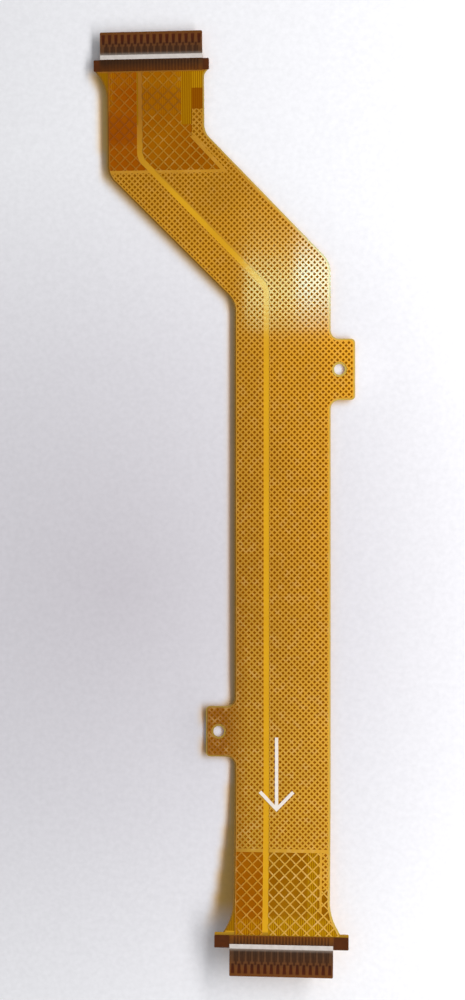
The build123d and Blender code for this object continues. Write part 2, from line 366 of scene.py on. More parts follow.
def bowed(y, height):
    """Height above the floor of a point of the sheet, from its y and its height over the underside."""
    lower = curl(flat_start - y, height, lower_bend_length, lower_tilt)
    upper = curl(y - flat_end, height, upper_bend_length, upper_tilt)
    return np.where(y < flat_start, lower, upper)


def points_of(mesh):
    """Vertices of a mesh as an array."""
    flat = np.empty(len(mesh.vertices) * 3)
    mesh.vertices.foreach_get("co", flat)
    return flat.reshape(-1, 3)


def add_piece(name, mesh, material, slot, *nodes):
    """Bend a flat mesh, move it into the frame in metres, and make it a piece of the object."""
    x, y, height = points_of(mesh).T
    placed = [x + to_frame[0], y + to_frame[1], bowed(y, height)]
    mesh.vertices.foreach_set("co", (np.column_stack(placed) * MM).ravel())
    mesh.materials.clear()
    mesh.materials.append(material)
    mesh.polygons.foreach_set("material_index", np.zeros(len(mesh.polygons), int))
    mesh.update()
    piece = bpy.data.objects.new(name, mesh)
    bpy.context.scene.collection.objects.link(piece)
    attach(piece, "root")
    if nodes:
        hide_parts(*nodes)
    print(name, len(mesh.polygons), "faces")


tip_rises = [round(float(bowed(tip, 0)), 2) for tip in (0, overall_length)]
print("lower and upper tip rise:", tip_rises, "mm")

# %% [markdown]
# ## Helpers for finishes
# Each finish is a Principled shader whose colour, roughness and bump come from Object coordinates, so nothing
# slides when the piece is exported. Colours are written as they look on the object, from 0 to 255.

# %% Material helpers
def shade(red, green, blue):
    """Linear colour from the numbers that a picture shows, by the sRGB curve."""
    seen = np.array([red, green, blue]) / 255
    linear = np.where(seen <= 0.04045, seen / 12.92, ((seen + 0.055) / 1.055) ** 2.4)
    return (*linear.tolist(), 1.0)


class Finish:
    """A material with its Principled shader, and short ways to add nodes to it."""

    def __init__(self, name, **sockets):
        self.material = bpy.data.materials.new(name)
        self.material.use_nodes = True
        self.tree = self.material.node_tree
        self.shader = self.tree.nodes["Principled BSDF"]
        for socket, value in sockets.items():
            self.shader.inputs[socket.replace("_", " ")].default_value = value
        self.place = self.tree.nodes.new("ShaderNodeTexCoord").outputs["Object"]

    def link(self, output, target):
        """Join an output to an input, or write a plain value into the input."""
        if isinstance(output, bpy.types.NodeSocket):
            self.tree.links.new(output, target)
        else:
            target.default_value = output

    def math(self, operation, *values):
        """One step of arithmetic."""
        node = self.tree.nodes.new("ShaderNodeMath")
        node.operation = operation
        for value, target in zip(values, node.inputs):
            self.link(value, target)
        return node.outputs[0]

    def noise(self, scale, detail=2.0, stretch=(1, 1, 1)):
        """Noise with a given number of features per metre, stretched along the axes."""
        mapping = self.tree.nodes.new("ShaderNodeMapping")
        mapping.inputs["Scale"].default_value = stretch
        texture = self.tree.nodes.new("ShaderNodeTexNoise")
        texture.inputs["Scale"].default_value = scale
        texture.inputs["Detail"].default_value = detail
        self.link(self.place, mapping.inputs["Vector"])
        self.link(mapping.outputs["Vector"], texture.inputs["Vector"])
        return texture.outputs["Fac"]

    def along(self, axis):
        """Layout X or Y in millimetres, from the Object coordinate in metres."""
        split = self.tree.nodes.new("ShaderNodeSeparateXYZ")
        self.link(self.place, split.inputs["Vector"])
        return self.math("MULTIPLY_ADD", split.outputs[axis], 1 / MM, -to_frame["XY".index(axis)])

    def attribute(self, name):
        """A number that the mesh itself carries."""
        node = self.tree.nodes.new("ShaderNodeAttribute")
        node.attribute_name = name
        return node.outputs["Fac"]

    def spread(self, value, low, high, to_low=0.0, to_high=1.0):
        """Value from low to high spread evenly over another range, and held at its ends."""
        node = self.tree.nodes.new("ShaderNodeMapRange")
        self.link(value, node.inputs["Value"])
        for name, number in zip(("From Min", "From Max", "To Min", "To Max"), (low, high, to_low, to_high)):
            node.inputs[name].default_value = number
        return node.outputs["Result"]

    def band(self, value, start, end, soft):
        """1 between start and end, falling to 0 over a soft edge outside each."""
        rise = self.spread(value, start - soft, start)
        return self.math("MULTIPLY", rise, self.spread(value, end, end + soft, 1.0, 0.0))

    def stripes(self, pitch):
        """Upright stripes, 0 to 1: half a sine wave plus a half, one wave to each pitch along X."""
        wave = self.math("SINE", self.math("MULTIPLY", self.along("X"), 2 * pi / pitch))
        return self.math("MULTIPLY_ADD", wave, 0.5, 0.5)

    def mix(self, share, first, second, blend="MIX"):
        """Colour between two colours."""
        node = self.tree.nodes.new("ShaderNodeMix")
        node.data_type = "RGBA"
        node.blend_type = blend
        for value, index in ((share, 0), (first, 6), (second, 7)):
            self.link(value, node.inputs[index])
        return node.outputs[2]

    def ramp(self, value, low, high, *colours):
        """Colours at even steps while a value goes from low to high."""
        node = self.tree.nodes.new("ShaderNodeValToRGB")
        stops = node.color_ramp.elements
        for _ in colours[2:]:
            stops.new(0.5)
        for index, colour in enumerate(colours):
            stops[index].position = index / (len(colours) - 1)
            stops[index].color = colour
        self.link(self.spread(value, low, high), node.inputs["Fac"])
        return node.outputs["Color"]

    def bump(self, height, strength, distance):
        """Fine relief from a height."""
        node = self.tree.nodes.new("ShaderNodeBump")
        node.inputs["Strength"].default_value = strength
        node.inputs["Distance"].default_value = distance
        self.link(height, node.inputs["Height"])
        self.link(node.outputs["Normal"], self.shader.inputs["Normal"])

    def colour(self, output):
        """Use an output as the base colour."""
        self.link(output, self.shader.inputs["Base Color"])

    def rough(self, output):
        """Use an output as the roughness."""
        self.link(output, self.shader.inputs["Roughness"])

    def pass_light(self, tint):
        """Let lamplight through in a tint, so that the shadow takes the film's colour."""
        clear = self.tree.nodes.new("ShaderNodeBsdfTransparent")
        path = self.tree.nodes.new("ShaderNodeLightPath")
        both = self.tree.nodes.new("ShaderNodeMixShader")
        self.link(tint, clear.inputs["Color"])
        self.link(path.outputs["Is Shadow Ray"], both.inputs[0])
        self.link(self.shader.outputs[0], both.inputs[1])
        self.link(clear.outputs[0], both.inputs[2])
        self.link(both.outputs[0], self.tree.nodes["Material Output"].inputs["Surface"])


# %% [markdown]
# ## The amber film
# Polyimide film is clear amber. Over white paper the lane between the two coppers looks bright yellow. Towards
# the upper end it is painted browner, as shade where that end gets less light. It could be glass with an
# absorption colour, but a thin glossy sheet with a little cloudiness is steadier under other light. Only the
# bare margin along the edge lets lamplight through, because there the shadow shows that the film is clear.

# %% Film finishes
coat_roughness = 0.055          # of the clear coat on film and copper
# painted shade: the film darkens towards its upper end, which gets less light
upper_shade_range = (72, 80)       # Y range over which the film gets browner
lip_greening = (4.1, 3.9)       # Y range over which its lower lip gets greener
lip_green = shade(168, 122, 6)


def film_finish(name, body, cloudy, upper, left=None):
    """Glossy amber, cloudy at a fine scale, with painted shade that makes it browner towards the less lit upper
    end, and greener at the lower lip. A painted shade for the left, away from the light, is used where the mesh
    is marked as left."""
    finish = Finish(name, IOR=1.5, Specular_IOR_Level=0.1, Coat_Weight=0.8, Coat_Roughness=coat_roughness)
    cloud = finish.mix(finish.noise(350, 3), body, cloudy)
    up = finish.mix(finish.spread(finish.along("Y"), *upper_shade_range), cloud, upper)
    whole = finish.mix(finish.spread(finish.along("Y"), *lip_greening), up, lip_green)
    finish.colour(finish.mix(finish.attribute("left"), whole, left) if left else whole)
    finish.rough(finish.spread(finish.noise(900), 0.3, 0.7, 0.26, 0.4))
    return finish


# its third shade is painted shade for the less lit upper end
amber_film = film_finish("amber_film", shade(212, 153, 2), shade(226, 169, 8), shade(164, 104, 4)).material
# painted light and shade: pale margin shades where lamplight comes through, a dark painted shade on the left
margin_film = film_finish("margin_film", shade(192, 160, 62), shade(206, 176, 84), shade(178, 144, 54),
                          shade(134, 92, 6))
margin_film.pass_light(shade(208, 166, 60))
print("finishes:", amber_film.name, margin_film.material.name)

# %% [markdown]
# ## Film, cover film and margin
# The base film carries the copper. A second film covers its underside and stops short of the tabs, where the
# contacts lie bare. Both are one grid slab each, with a row of cells to each half millimetre so that they can
# bend, trimmed to the die-cut outline and punched with the two locating holes. The margin along the edge is a
# piece of its own that runs through both films. Its colours are painted light and shade: pale where lamplight
# comes through the film, and darker on the left, away from the light.

# %% Cut the films
film_top, cover_top, cover_low = 0.12, 0.05, 0.006      # heights over the strip's underside
hole_radius = 0.5
hole_ring = 0.2                 # bare film round each locating hole
holes = left_hole, right_hole = (-5.975, 22.415), (5.295, 56.11)
copper_margin = 0.14            # bare film along the edge
sheet_border = 1                # by which a sheet is larger than the strip before it is trimmed
row_step = 0.5


def sheet(low, high, columns=10):
    """Plain slab under the whole strip, with a row of cells to each half millimetre."""
    xs = np.linspace(left_limit - sheet_border, right_limit + sheet_border, columns)
    return slab(xs, np.arange(-row_step, overall_length + sheet_border, row_step), low, high)


def edge_ring():
    """Knife along the film's edge between the two wings: the outline less the same outline moved in."""
    whole = prism(strip_line, KNIFE_LOW, KNIFE_HIGH)
    ring = outside(whole, rounded_line(inset(strip_corners, copper_margin)))
    lower = box_line(-FAR, FAR, -sheet_border, lower_wing_edge)
    return outside(ring, lower, box_line(-FAR, FAR, upper_wing_edge, FAR))


def film_layer(low, high):
    """Sheet of film inside the margins of its edge and its two holes."""
    film = combined(inside(sheet(low, high), strip_line), edge_ring(), "DIFFERENCE")
    return outside(film, *(circle(hole, hole_radius + hole_ring) for hole in holes))


lower_tab = box_line(-FAR, FAR, -sheet_border, tab_length)
upper_tab = box_line(-FAR, FAR, overall_length - tab_length, FAR)
add_piece("film_sheet", film_layer(cover_top, film_top), amber_film, "amber_film", "base_film")
cover = outside(film_layer(cover_low, cover_top), lower_tab, upper_tab)
add_piece("cover_film", cover, amber_film, "amber_film", "base_film")

# %% Cut the margin
ear_start = 0.3                 # past the body's side, where the left ear begins
ear_border = 0.5                # above and below the ear that counts as ear
ear_shade_share = 0.6              # share of the left side's shade on the ear
margins = [combined(sheet(cover_low, film_top), edge_ring(), "INTERSECT")]
for hole in holes:
    disc = prism(circle(hole, hole_radius + hole_ring), cover_low, film_top)
    margins.append(outside(disc, circle(hole, hole_radius)))
margin = joined(margins)
x, y, height = points_of(margin).T
# painted shade: the margin left of the strip's middle takes the darker left shade, less of it on the ear
middle = np.interp(y, [left_bend, left_bend + body_left - neck_left], [0, (neck_left + neck_right) / 2])
on_ear = (x < body_left - ear_start) & (y > left_ear_bottom - ear_border) & (y < left_ear_top + ear_border)
painted_left_shade = (x < middle) * np.where(on_ear, ear_shade_share, 1.0)
margin.attributes.new("left", "FLOAT", "POINT").data.foreach_set("value", painted_left_shade)
add_piece("film_margin", margin, margin_film.material, "amber_film", "base_film")

# %% [markdown]
# ## Where the copper lies
# The ground copper stays a margin away from the film's edge and is parted by a bare lane that follows the
# jog. Its plan is the outline with each side moved inwards by that side's own margin, which keeps the arcs
# true. Open lattices fill the two ends, and a fine hatch fills the rest.

# %% Plans of the left and the right copper
upper_end_margin, lower_end_margin, lane_half = 0.12, -0.2, 0.27
neck_lane, body_lane, slant_lane_shift, lane_radius = -13.32, -1.5, -2.04, 1.5


def slant_middle(x):
    """Y of the slanted run's middle line, halfway between the lines of its two sides."""
    left = left_bend + (body_left - x) * tan(radians(left_slant))
    right = right_bend + (body_right - x) * tan(radians(right_slant))
    return (left + right) / 2


lane = [
    (neck_lane, upper_wing_edge, 0),
    (neck_lane, slant_middle(neck_lane) + slant_lane_shift, lane_radius),
    (body_lane, slant_middle(body_lane) + slant_lane_shift, lane_radius),
    (body_lane, lower_wing_edge, 0),
]


def copper_line(side, extra=0.0):
    """Plan of the left (-1) or right (+1) copper: outline, end, lane and end, moved inwards. The left copper
    runs straight past the two flares. Only the outer side takes part in an extra move."""
    if side < 0:
        half = [(body_left, lower_wing_edge, 0), *left_side()[1:-1], (neck_left, upper_wing_edge, 0)]
    else:
        half = [lower_end(side)[-1], *right_side()[::-1], upper_end(side)[-1]]
    distances = [copper_margin + extra] * (len(half) - 1) + [upper_end_margin]
    distances += [lane_half] * (len(lane) - 1) + [lower_end_margin]
    return rounded_line(inset(half + lane, distances))


def on_copper(side, mesh):
    """A block trimmed to one copper's plan and cleared round the locating hole."""
    hole = left_hole if side < 0 else right_hole
    return outside(inside(mesh, copper_line(side)), circle(hole, hole_radius + hole_ring))


print("points of the two copper plans:", [len(copper_line(side)) for side in (-1, 1)])

# %% Plans of the open ends
upper_open, lower_open = 74.65, 11.3
strip_left, strip_corner = -8.4, 77.9       # fine strip beside the upper lattice, and where it turns
bundle_left, bundle_bottom = -9.4, 79.0     # bundle of traces beside the upper lattice
block_bottom, block_top = 80.42, 82.35      # solid block above the fine strip
bar_left, bar_right = 3.5, 3.71             # upright bar beside the lower lattice
lower_strip_end = 7.95                      # the fine strip beside it stops here


def diagonal_x(y):
    """X of the slanted limit of the upper lattice, which runs along the strip's slanted edge."""
    return strip_left + (strip_corner - y) / tan(radians(right_slant))


upper_right = [(-FAR, upper_open), (diagonal_x(upper_open), upper_open), (strip_left, strip_corner)]
upper_right += [(strip_left, bundle_bottom), (bundle_left, bundle_bottom), (bundle_left, FAR), (-FAR, FAR)]
lower_right = [(-FAR, 0), (FAR, 0), (FAR, lower_strip_end), (bar_left, lower_strip_end)]
lower_right += [(bar_left, lower_open), (-FAR, lower_open)]
open_zones = {
    (-1, "upper"): box_line(-FAR, FAR, upper_open, FAR),
    (-1, "lower"): box_line(-FAR, FAR, 0, lower_open),
    (1, "upper"): np.array(upper_right),
    (1, "lower"): np.array(lower_right),
}
bundle_zone = box_line(bundle_left, strip_left, bundle_bottom, FAR)
block_zone = box_line(strip_left, FAR, block_bottom, block_top)
patch_zone = box_line(strip_left, FAR, block_top, FAR)
print("open zones:", len(open_zones))


def fine_part(side, mesh):
    """The part of a block outside every other zone of its copper."""
    others = [line for (owner, end), line in open_zones.items() if owner == side]
    return outside(mesh, *others, *([bundle_zone, block_zone, patch_zone] if side > 0 else []))


# %% [markdown]
# ## Fields under the copper
# Through the gaps of the copper one sees the layer behind it: dark amber under the fine hatch, and a warmer
# brown under the open lattices, with fine upright stripes where the traces of the far side show through.
# These fields are thin sheets with the copper's own plan, so that each gets a finish of its own and no edge
# has to be painted.

# %% Field finishes
field_top = 0.126
field_columns = 8               # grid lines across a field
trace_show = 0.2                # pitch of the traces that show through
band_soft_x, band_soft_y = 0.3, 0.6     # edges over which a band of stripes fades out
hatch_y = (8, 78)               # Y range over which the gaps of the hatch change their shade


def hatch_field_finish():
    """Dark amber in the gaps of the hatch, more orange towards the lower end and paler on the slanted run."""
    finish = Finish("hatch_gaps", Roughness=0.5, IOR=1.45, Specular_IOR_Level=0.0)
    tone = finish.ramp(finish.along("Y"), *hatch_y, shade(152, 88, 1), shade(138, 78, 1), shade(134, 74, 1),
                       shade(138, 82, 1), shade(144, 90, 1))
    cloud = finish.spread(finish.noise(260, 3), 0.35, 0.65, 0, 0.3)
    finish.colour(finish.mix(cloud, tone, shade(152, 92, 2)))
    return finish.material


def open_field_finish(name, dark, light, stripe, bands):
    """Cloudy amber between two shades. Each band is a layout X range, a Y range and a strength, in which
    upright stripes of a third shade show."""
    finish = Finish(name, Roughness=0.45, IOR=1.45, Specular_IOR_Level=0.0)
    colour = finish.mix(finish.spread(finish.noise(240, 3), 0.3, 0.7), dark, light)
    lines = finish.stripes(trace_show)
    for left, right, bottom, top, strength in bands:
        where = finish.math("MULTIPLY", finish.band(finish.along("X"), left, right, band_soft_x),
                            finish.band(finish.along("Y"), bottom, top, band_soft_y))
        share = finish.math("MULTIPLY", where, finish.math("MULTIPLY", lines, strength))
        colour = finish.mix(share, colour, stripe)
    finish.colour(colour)
    return finish.material


# %% Field pieces
hatch_gaps = hatch_field_finish()
open_finishes = {
    (-1, "upper"): open_field_finish(
        "upper_left_gaps", shade(152, 74, 2), shade(164, 88, 4), shade(170, 116, 8),
        [(-17.5, -16, 81, 85, 0.8), (-16, -14, 82.8, 85, 0.5)]),
    (1, "upper"): open_field_finish(
        "upper_right_gaps", shade(150, 80, 2), shade(164, 98, 4), shade(174, 118, 8),
        [(-13, -8.5, 80.2, 83, 0.45), (-10, -8.4, 82.5, 85, 0.8)]),
    (-1, "lower"): open_field_finish(
        "lower_left_gaps", shade(150, 80, 2), shade(160, 94, 6), shade(186, 134, 10),
        [(-6, 0, 3, 4.8, 0.9)]),
    (1, "lower"): open_field_finish(
        "lower_right_gaps", shade(142, 84, 2), shade(156, 102, 8), shade(194, 146, 12),
        [(2.5, 3.2, 3, 12, 0.7), (-2, 6, 3, 5.0, 0.9)]),
}
for side, name in ((-1, "left"), (1, "right")):
    field = on_copper(side, sheet(film_top, field_top, field_columns))
    add_piece(f"{name}_hatch_field", fine_part(side, field.copy()), hatch_gaps, "covered_copper")
    for (owner, end), line in open_zones.items():
        if owner == side:
            material = open_finishes[owner, end]
            add_piece(f"{end}_{name}_field", inside(field.copy(), line), material, "covered_copper")

# %% [markdown]
# ## Bundle, block, patch and flares
# Beside the upper lattice on the right lie a bundle of traces, a solid block of brown and a bright patch where
# the traces fan out to the tab. On the left the copper runs straight past the two flares, so the film there is
# dark and striped. All of these could be painted on the film, but as plates in the layer of the fields they
# get sharp edges and finishes of their own.

# %% Three plates of the upper corner
def plate_finish(name, dark, light, stripe_share):
    """Plain amber shade with upright stripes of a lighter one."""
    finish = Finish(name, Roughness=0.4, IOR=1.45, Specular_IOR_Level=0.0)
    share = finish.math("MULTIPLY", finish.stripes(trace_show), stripe_share)
    finish.colour(finish.mix(share, dark, light))
    return finish.material


corner_field = on_copper(1, sheet(film_top, field_top, field_columns))
corner_plates = [
    ("trace_bundle", bundle_zone, plate_finish("bundle_amber", shade(142, 84, 2), shade(176, 126, 10), 1.0)),
    ("corner_block", block_zone, plate_finish("block_brown", shade(134, 70, 2), shade(152, 92, 6), 0.6)),
    ("corner_patch", patch_zone, plate_finish("patch_amber", shade(150, 96, 4), shade(190, 138, 12), 1.0)),
]
for name, line, material in corner_plates:
    add_piece(name, inside(corner_field.copy(), line), material, "covered_copper")

# %% Dark film on the left flares
flare_gap = 0.02                # between the copper and the film on the flares
lower_flare_length, upper_flare_length = 6, 5
flare_limit = -3                # X that the film on the flares stays left of
flared = [lower_end(-1)[-1], *left_side(), upper_end(-1)[-1]] + lane
flared_line = rounded_line(inset(flared, copper_margin))
flares = inside(sheet(film_top, field_top, field_columns), flared_line)
between = box_line(-FAR, FAR, lower_wing_edge + lower_flare_length, upper_wing_edge - upper_flare_length)
flares = outside(flares, copper_line(-1, -flare_gap), between, box_line(flare_limit, FAR, -FAR, FAR))
flare_amber = plate_finish("flare_amber", shade(140, 92, 4), shade(162, 112, 10), 0.8)
add_piece("flare_film", flares, flare_amber, "covered_copper")

# %% [markdown]
# ## The copper itself
# The ground copper is etched to a hatch of crossing lines at 45 degrees so that the cable stays flexible:
# a fine one along the body and an open one at the ends. A procedural pattern could fake it, but real lines
# catch the light. The lattice is one grid of alternating lines and gaps, with every cell in an odd column
# and an odd row left out, turned by 45 degrees and trimmed to the copper's plan.

# %% Lattice on a turned grid
copper_top = 0.155
half_width = 9.5                # of the band along the strip that a lattice covers


def lattice(pitch, line, origin, bottom, top):
    """Crossing lines at 45 degrees round the strip's middle, between two Y values.
    Along each turned axis the grid lines lie half a line before and after every multiple of the pitch. A gap
    is kept, with the eight cells round it, where its centre is near the strip's middle line."""
    reach = np.ceil((overall_length + right_limit - left_limit) / pitch)
    centres = np.arange(-reach, reach + 1) * pitch
    grid = np.column_stack([centres - line / 2, centres + line / 2]).ravel()
    gap = (grid[1:-1:2] + grid[2::2]) / 2
    x = (gap[:, None] - gap) / sqrt(2) + origin[0]
    y = (gap[:, None] + gap) / sqrt(2) + origin[1]
    slanted = [left_bend, slant_middle(neck_lane)]
    middle = np.interp(y, slanted, [0, (neck_left + neck_right) / 2])
    near = (np.abs(x - middle) < half_width) & (y > bottom - pitch) & (y < top + pitch)
    kept = np.zeros((len(grid) - 1, len(grid) - 1), bool)
    count = len(gap)
    for step_u in range(3):
        for step_v in range(3):
            kept[step_u:step_u + 2 * count:2, step_v:step_v + 2 * count:2] |= near
    kept[1::2, 1::2] = False
    mesh = slab(grid, grid, field_top, copper_top, kept)
    u, v, height = points_of(mesh).T
    turned = [(u - v) / sqrt(2) + origin[0], (u + v) / sqrt(2) + origin[1], height]
    mesh.vertices.foreach_set("co", np.column_stack(turned).ravel())
    return mesh


# %% Copper finishes
tone_y = (4, 84)                # Y range of a copper's stops
# painted light and shade: darker at the left and brighter at the right, partly the copper's own tone
side_reach, side_tone_and_light = 4.5, (0.79, 1.1)               # strength at the left and the right side
ear_x, ear_y = (-3.2, -5.6), (40, 30)                   # ranges over which the lower ear's tint sets in
ear_tint = (0.6, 0.42, 0.2, 1.0)
# painted glints: highlights on the copper lines
painted_glint_colour = shade(236, 190, 110)
glint_y, glint_left = (20, 80), 0.2                     # where the glints fade, and the share that is left
dim_soft, dim_share = 0.8, 0.95


def copper_finish(name, *stops, coat, painted_glint_share, dim=None):
    """Copper under amber film: golden, a little metallic, with a clear coat, uneven etching and painted glints.
    The stops are colours at even steps from the lower to the upper end, partly painted light and shade. The
    painted glints fade towards the upper. It is darker towards the left, most of all on the lower ear, and
    brighter towards the right, partly its own tone and partly painted light from the right. Over a dim range of
    Y, given with a shade, the lines sink into what is behind them."""
    finish = Finish(name, Metallic=0.15, IOR=1.5, Specular_IOR_Level=0.1, Coat_Weight=coat,
                    Coat_Roughness=coat_roughness)
    x, y = finish.along("X"), finish.along("Y")
    tone = finish.ramp(y, *tone_y, *stops)
    # darker left and brighter right: partly own tone, partly painted light
    even = finish.mix(1.0, tone, finish.spread(x, -side_reach, side_reach, *side_tone_and_light), "MULTIPLY")
    ear = finish.math("MULTIPLY", finish.spread(x, *ear_x), finish.spread(y, *ear_y))
    even = finish.mix(ear, even, ear_tint, "MULTIPLY")
    cloud = finish.spread(finish.noise(300, 3), 0.3, 0.7, 0.95, 1.05)
    etched = finish.mix(1.0, even, cloud, "MULTIPLY")
    # painted glints, fading towards the upper end
    fade = finish.spread(y, *glint_y, painted_glint_share, glint_left * painted_glint_share)
    share = finish.math("MULTIPLY", finish.spread(finish.noise(1400, 2), 0.52, 0.68), fade)
    whole = finish.mix(share, etched, painted_glint_colour)
    if dim:
        start, end, behind = dim
        dimmed = finish.math("MULTIPLY", finish.band(y, start, end, dim_soft), dim_share)
        whole = finish.mix(dimmed, whole, behind)
    finish.colour(whole)
    finish.rough(finish.spread(finish.noise(1200), 0.3, 0.7, 0.3, 0.45))
    finish.bump(finish.noise(2500), 0.04, 0.00001)
    return finish.material


# The stops are partly painted: darker at the less lit upper end, paler where a sheen falls on the lower body.
hatch_copper = copper_finish("hatch_copper", shade(214, 156, 32), shade(221, 163, 44), shade(213, 151, 30),
                             shade(224, 158, 28), shade(238, 167, 24), shade(204, 138, 12), coat=1.0,
                             painted_glint_share=0.3)
open_coppers = {
    -1: copper_finish("left_open_copper", shade(214, 148, 40), shade(214, 148, 40), shade(180, 106, 8),
                      coat=0.3, painted_glint_share=0.3, dim=(77.6, 79.6, shade(150, 76, 4))),
    1: copper_finish("right_open_copper", shade(218, 166, 64), shade(218, 166, 64), shade(188, 122, 10),
                     coat=0.3, painted_glint_share=0.6, dim=(80.5, 82, shade(150, 90, 4))),
}
print("finishes:", hatch_copper.name, [material.name for material in open_coppers.values()])

# %% Fine hatch, open lattices, rims and bars
hatch_pitch, hatch_line, hatch_origin = 0.3773, 0.155, (0.045, 35.104)
hatch_reach = (2, overall_length)
open_line = 0.12
lattices = {                    # pitch and origin of each open lattice
    (-1, "upper"): (0.719, (-14.736, 79.023)),
    (1, "upper"): (0.719, (-11.093, 77.6)),
    (-1, "lower"): (0.731, (0.344, 10.189)),
    (1, "lower"): (0.731, (-0.77, 10.214)),
}
lattice_reach = {"lower": (2, 14), "upper": (72, 86)}   # Y range of the open lattices
rim_width = 0.09
upper_bar, lower_bar = (-0.12, 0.14), (-0.02, 0.3)      # below and above the start of an open end
upright_bottom, upright_rise = 5.8, 0.2                 # of the bar beside the lower lattice
slant_half = 0.18                                       # half width of the bar along the slant


def rim(side):
    """Solid line along one copper's outer side: its plan less the same plan moved further in."""
    whole = inside(sheet(field_top, copper_top, field_columns), copper_line(side))
    return on_copper(side, outside(whole, copper_line(side, rim_width)))


def bars(side):
    """Plans of the solid bars that part the fine hatch from the open lattices."""
    lines = [box_line(-FAR, FAR, upper_open + upper_bar[0], upper_open + upper_bar[1]),
             box_line(-FAR, FAR, lower_open + lower_bar[0], lower_open + lower_bar[1])]
    if side > 0:
        foot, bottom = diagonal_x(upper_open), upper_open + upper_bar[0]
        lines[0][1:3, 0] = foot
        lines.append(box_line(bar_left, bar_right, upright_bottom, lower_open + upright_rise))
        across = slant_half / sin(radians(right_slant))
        lines.append([(foot + across, bottom), (strip_left + across, strip_corner),
                      (strip_left - across, strip_corner), (foot - across, bottom)])
    return lines


for side, name in ((-1, "left"), (1, "right")):
    node = f"{name}_ground_copper"
    fine_lines = on_copper(side, lattice(hatch_pitch, hatch_line, hatch_origin, *hatch_reach))
    edge = rim(side)
    fine = combined(fine_part(side, fine_lines), fine_part(side, edge.copy()), "UNION")
    add_piece(f"{name}_fine_hatch", outside(fine, *bars(side)), hatch_copper, "covered_copper", node)
    ends = []
    for (owner, end), line in open_zones.items():
        if owner == side:
            pitch, origin = lattices[owner, end]
            lines = lattice(pitch, open_line, origin, *lattice_reach[end])
            lines = inside(on_copper(side, lines), line)
            ends.append(combined(lines, inside(edge.copy(), line), "UNION"))
    opened = outside(joined(ends), *bars(side))
    add_piece(f"{name}_open_lattice", opened, open_coppers[side], "covered_copper", node)
    solid = united([on_copper(side, prism(line, field_top, copper_top)) for line in bars(side)])
    add_piece(f"{name}_bars", solid, hatch_copper, "covered_copper", node)

# %% [markdown]
# ## Stiffeners with finger marks
# A brown laminate plate backs each tab so that it can be pushed into its socket. The contacts on the far side
# press through it: two staggered rows of fingers show as lighter, slightly raised pads. The relief is a
# function of x and of the distance from the tip, worked out on a fine grid, and the same function is kept as
# an attribute on the mesh so that the colour follows it.

# %% Finger marks as a function
contact_pitch, contact_count = 0.3, 31
mark_height, groove_slope = 0.012, 0.06
plate_length = 3.6              # about the distance from a tip to the wing's inner edge
grooves = [                     # first contact, step, from, to, half width at both ends, depth
    (0, 2, 0.26, 1.14, 0.17, 0.12, 1.0),
    (1, 2, 1.0, 2.3, 0.11, 0.06, 0.8),
    (0.5, 1, 1.3, 2.4, 0.06, 0.06, 0.75),
    (0.5, 1, tab_length, plate_length, 0.08, 0.08, 0.9),
]


def finger_marks(x, along):
    """Share of a pad under a point, 0 to 1, from x off the tab's middle and the distance from the tip.
    It is 1 less the grooves. A groove lies at every second contact, or between all of them, and narrows evenly
    away from the tip. Its edges are short slopes."""
    contact = x / contact_pitch + (contact_count - 1) / 2
    sunk = np.zeros_like(x)
    for first, step, start, end, half_start, half_end, depth in grooves:
        number = np.round((contact - first) / step)
        number = np.clip(number, 0, (contact_count - 1 - 2 * first) / step)
        away = np.abs(contact - first - number * step) * contact_pitch
        half = np.interp(along, [start, end], [half_start, half_end])
        groove = np.clip((half - away) / groove_slope + 0.5, 0, 1) * depth
        sunk = np.maximum(sunk, groove * ((along > start) & (along < end)))
    return 1 - sunk


print("contacts:", contact_count, "at", contact_pitch, "mm, marked by", len(grooves), "kinds of groove")


# %% Stiffener finish
def stiffener_finish():
    """Dark brown laminate: pads lighter than the gaps between them, a painted grey highlight beside the printed
    line, and redder at the wing's inner edge."""
    finish = Finish("brown_stiffener", IOR=1.45, Specular_IOR_Level=0.2)
    along = finish.attribute("inward")
    pads = finish.ramp(along, 0, plate_length, shade(108, 62, 20), shade(108, 62, 24), shade(94, 58, 30),
                       shade(82, 54, 34), shade(94, 56, 22), shade(118, 66, 8))
    gaps = finish.ramp(along, 0, plate_length, shade(82, 32, 2), shade(68, 24, 2), shade(52, 25, 8),
                       shade(44, 26, 12), shade(54, 28, 6), shade(86, 42, 2))
    whole = finish.mix(finish.attribute("finger"), gaps, pads)
    # painted grey highlight beside the printed line
    whole = finish.mix(finish.attribute("painted_sheen"), whole, shade(150, 140, 130))
    ends = finish.mix(finish.attribute("wing_end"), whole, shade(82, 38, 6))
    grain = finish.spread(finish.noise(3000, 4), 0.3, 0.7, 0.88, 1.1)
    finish.colour(finish.mix(1.0, ends, grain, "MULTIPLY"))
    finish.rough(finish.spread(finish.noise(1800), 0.3, 0.7, 0.42, 0.58))
    finish.bump(finish.noise(6000, 3), 0.15, 0.00002)
    return finish.material


brown_stiffener = stiffener_finish()
print("finish:", brown_stiffener.name)

# %% Stiffener pieces
stiffener_top = 0.22
plate_border, mark_cell_x, mark_cell_y = 0.1, 0.05, 0.1
edge_slack = 0.05               # so that points right on a limit count as inside
# width and strength of the painted grey highlight before the printed line
sheen_width, sheen_strength = 0.25, 0.7
wing_lead = 0.1                 # inside the tab's side, where the shade of a wing's end starts
wing_blend = 0.3                # length over which that shade sets in
upper_print, lower_print = 2.11, 2.5                            # distance of a printed line from the tip
upper_wing_marks, lower_wing_marks = (0.1, 0.6), (0.9, 1.0)     # strength at the left and the right end


